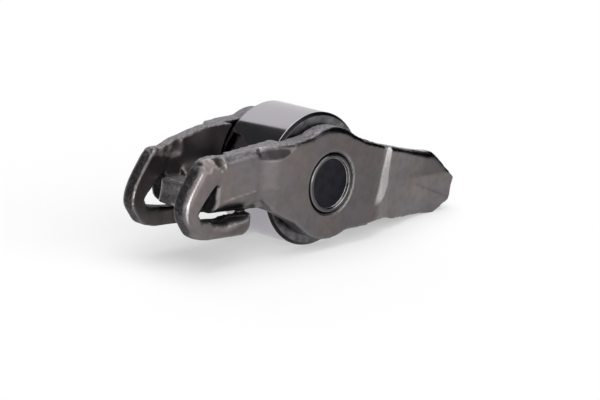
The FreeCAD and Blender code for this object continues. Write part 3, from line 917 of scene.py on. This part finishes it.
class FOLLOWER_OT_arm(bpy.types.Operator):
    """Rebuild the stamped arm with rolled rims, worn steel and painted light and shade"""
    bl_idname = "follower.arm"
    bl_label = "Stamped arm"

    def execute(self, context):
        settings = context.scene.follower_arm
        mesh = rebuilt(to_mesh(level_copy(), "arm_blank"), settings.voxel)
        bm = bmesh.new()
        bm.from_mesh(mesh)
        bpy.data.meshes.remove(mesh)
        soften(bm, bm.verts, 2, 0.45)
        blend_jogs(bm)
        round_rims(bm, settings)
        roll_top_rims(bm)
        coin_tongue(bm)
        roll_belly(bm)
        scoop_jogs(bm)
        ease_pockets(bm)
        chamfer_bars(bm)
        batter_crowns(bm)
        rough_shear(bm)
        settle(bm)
        soften(bm, bm.verts, 1, 0.4)
        mark_wear_and_light(bm)
        back = Matrix.Rotation(PITCH, 4, "Y") @ Matrix.Scale(MM, 4)
        bmesh.ops.transform(bm, matrix=back, verts=bm.verts)
        rest_on_floor(bm)
        bm.normal_update()
        new_piece("stamped_arm", to_mesh(bm, "stamped_arm"), tumbled_steel_with_painted_light(settings),
                  "arm", "arm")
        return {"FINISHED"}


class FOLLOWER_OT_pin(bpy.types.Operator):
    """Make the axle pin with rounded shoulders and dished ends"""
    bl_idname = "follower.pin"
    bl_label = "Axle pin"

    def execute(self, context):
        settings = context.scene.follower_bearing
        shank, half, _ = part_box("axle_pin")[1]
        dish, shoulder = settings.dish, settings.shoulder
        floor, lip = half - settings.dish_depth, dish + 0.05 * MM
        side = [(0, floor, 0), (dish, floor, 0.05 * MM), (lip, half, 0.08 * MM),
                (shank - shoulder, half, 0.12 * MM), (shank, half - shoulder, 0)]
        bm = turned(eased_profile(side), settings.turns)
        new_piece("axle", to_mesh(bm, "axle"), pin_steel(settings), "arm", "axle_pin")
        return {"FINISHED"}


class FOLLOWER_OT_roller(bpy.types.Operator):
    """Make the roller ring with its polished running face"""
    bl_idname = "follower.roller"
    bl_label = "Roller"

    def execute(self, context):
        settings = context.scene.follower_bearing
        radius, half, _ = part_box("roller")[1]
        edge, chamfer = settings.ring_edge, settings.chamfer
        side = [(settings.bore, half, settings.eased_edge), (radius - chamfer, half, edge),
                (radius, half - chamfer, edge)]
        bm = turned(eased_profile(side), settings.turns, closed=True)
        for face in bm.faces:
            if abs(face.normal.y) > 0.5:
                face.material_index = 1
        piece = new_piece("roller_ring", to_mesh(bm, "roller_ring"),
                          polished_steel(settings), "roller", "roller")
        piece.data.materials.append(ring_side_steel(settings))
        return {"FINISHED"}


class FOLLOWER_OT_needles(bpy.types.Operator):
    """Make the loose needles between the pin and the ring"""
    bl_idname = "follower.needles"
    bl_label = "Needles"

    def execute(self, context):
        settings = context.scene.follower_bearing
        steel = polished_steel(settings)
        names = sorted(name for name in frame["nodes"] if name.startswith("needle_"))
        for name in names:
            low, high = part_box(name)
            centre, radius, half = (low + high) / 2, (high.x - low.x) / 2, high.y
            side = [(0, half, 0), (radius, half, settings.eased_edge)]
            bm = turned(eased_profile(side), settings.needle_turns)
            bmesh.ops.translate(bm, vec=(centre.x, 0, centre.z), verts=bm.verts)
            new_piece(name.replace("needle", "loose_needle"), to_mesh(bm, name), steel,
                      "needles", name)
        return {"FINISHED"}


# The stage: floor, studio and camera
def studio_panel(tree, direction, centre, width, low, high, blur):
    """Mask of a rectangular panel of the studio, by its azimuth and elevation in degrees."""
    turn, half, foot, head, soft = (
        math.radians(angle) for angle in (centre, width / 2, low, high, blur))
    x, y, z = direction
    ahead = tree.math("ADD", tree.math("MULTIPLY", x, math.cos(turn)),
                      tree.math("MULTIPLY", y, math.sin(turn)))
    across = tree.math("SUBTRACT", tree.math("MULTIPLY", y, math.cos(turn)),
                       tree.math("MULTIPLY", x, math.sin(turn)))
    azimuth = tree.math("ABSOLUTE", tree.math("ARCTAN2", across, ahead))
    height = tree.math("ARCSINE", z)
    side = tree.step(azimuth, half - soft, half + soft, 1.0, 0.0)
    over = tree.step(height, foot - soft, foot + soft)
    under = tree.step(height, head - soft, head + soft, 1.0, 0.0)
    return tree.math("MULTIPLY", side, tree.math("MULTIPLY", over, under))


# Light of the room, and its panels: azimuth, width, low, high and blur in degrees, radiance
ROOM_LIGHT = 0.035
PANELS = (
    (55, 71, -91, 53, 1.2, 0.72),
    (0, 359.9, 58, 91, 5.0, 2.1),
    (258, 116, 4, 50, 8.0, 1.8),
    (228, 30, 0, 22, 5.0, 1.5),
)


def build_studio(world):
    """Light the world with a dim room and its soft panels."""
    tree = Tree(world)
    split = tree.add("ShaderNodeSeparateXYZ", {
        "Vector": tree.add("ShaderNodeTexCoord").outputs["Generated"]})
    direction = split.outputs
    light = ROOM_LIGHT
    for centre, width, low, high, blur, radiance in PANELS:
        mask = studio_panel(tree, direction, centre, width, low, high, blur)
        light = tree.math("ADD", light, tree.math("MULTIPLY", mask, radiance))
    colour = tree.add("ShaderNodeCombineColor", {0: light, 1: light, 2: light}).outputs[0]
    back = tree.add("ShaderNodeBackground", {"Color": colour, "Strength": 1.0})
    tree.add("ShaderNodeOutputWorld", {"Surface": back.outputs[0]})


def lay_floor(scene, settings):
    """Pale paper floor, partly plain white as it is seen, which keeps the object's shadow."""
    bm = bmesh.new()
    bmesh.ops.create_grid(bm, x_segments=1, y_segments=1, size=settings.floor_size / 2)
    bmesh.ops.translate(bm, vec=(0, 0, FLOOR), verts=bm.verts)
    floor = bpy.data.objects.new("floor", to_mesh(bm, "floor"))
    scene.collection.objects.link(floor)
    material, tree = new_material("floor_paper")
    paper = tree.add("ShaderNodeBsdfDiffuse", {"Color": (*settings.floor_colour, 1)})
    glow = tree.add("ShaderNodeEmission", {"Color": (1, 1, 1, 1), "Strength": 1.0})
    ray = tree.add("ShaderNodeLightPath").outputs
    seen = tree.math("ADD", tree.math("ADD", ray["Is Camera Ray"], ray["Is Glossy Ray"]),
                     ray["Is Transmission Ray"], clamp=True)
    sheet = tree.add("ShaderNodeMixShader", {
        0: tree.math("MULTIPLY", seen, settings.floor_glow), 1: paper.outputs[0],
        2: glow.outputs[0]})
    tree.add("ShaderNodeOutputMaterial", {"Surface": sheet.outputs[0]})
    floor.data.materials.append(material)


def place_camera(scene, settings):
    """Camera at the picture's viewing angle."""
    data = bpy.data.cameras.new("camera")
    data.lens, data.sensor_width = settings.camera_lens, 36.0
    data.clip_start, data.clip_end = 0.01, 20.0
    camera = bpy.data.objects.new("camera", data)
    camera.location = settings.camera_place
    camera.rotation_euler = settings.camera_turn
    scene.collection.objects.link(camera)
    scene.camera = camera


class FOLLOWER_OT_stage(bpy.types.Operator):
    """Lay the floor and set up the studio and the camera"""
    bl_idname = "follower.stage"
    bl_label = "Stage"

    def execute(self, context):
        scene, settings = context.scene, context.scene.follower_stage
        lay_floor(scene, settings)
        scene.world = bpy.data.worlds.new("studio")
        build_studio(scene.world)
        place_camera(scene, settings)
        scene.view_settings.view_transform = "Standard"
        return {"FINISHED"}


STEPS = (FOLLOWER_OT_stage, FOLLOWER_OT_arm, FOLLOWER_OT_pin, FOLLOWER_OT_roller,
         FOLLOWER_OT_needles)


class FOLLOWER_PT_panel(bpy.types.Panel):
    """Buttons that make each piece of the follower"""
    bl_idname = "FOLLOWER_PT_panel"
    bl_label = "Follower"
    bl_space_type = "VIEW_3D"
    bl_region_type = "UI"
    bl_category = "Follower"

    def draw(self, context):
        for step in STEPS:
            self.layout.operator(step.bl_idname)


CLASSES = (ArmSettings, BearingSettings, StageSettings, *STEPS, FOLLOWER_PT_panel)


def register():
    for cls in CLASSES:
        bpy.utils.register_class(cls)
    bpy.types.Scene.follower_arm = bpy.props.PointerProperty(type=ArmSettings)
    bpy.types.Scene.follower_bearing = bpy.props.PointerProperty(type=BearingSettings)
    bpy.types.Scene.follower_stage = bpy.props.PointerProperty(type=StageSettings)


def unregister():
    del bpy.types.Scene.follower_arm
    del bpy.types.Scene.follower_bearing
    del bpy.types.Scene.follower_stage
    for cls in reversed(CLASSES):
        bpy.utils.unregister_class(cls)


def main():
    register()
    bpy.ops.follower.stage()
    bpy.ops.follower.arm()
    bpy.ops.follower.pin()
    bpy.ops.follower.roller()
    bpy.ops.follower.needles()


if __name__ == "__main__":
    main()
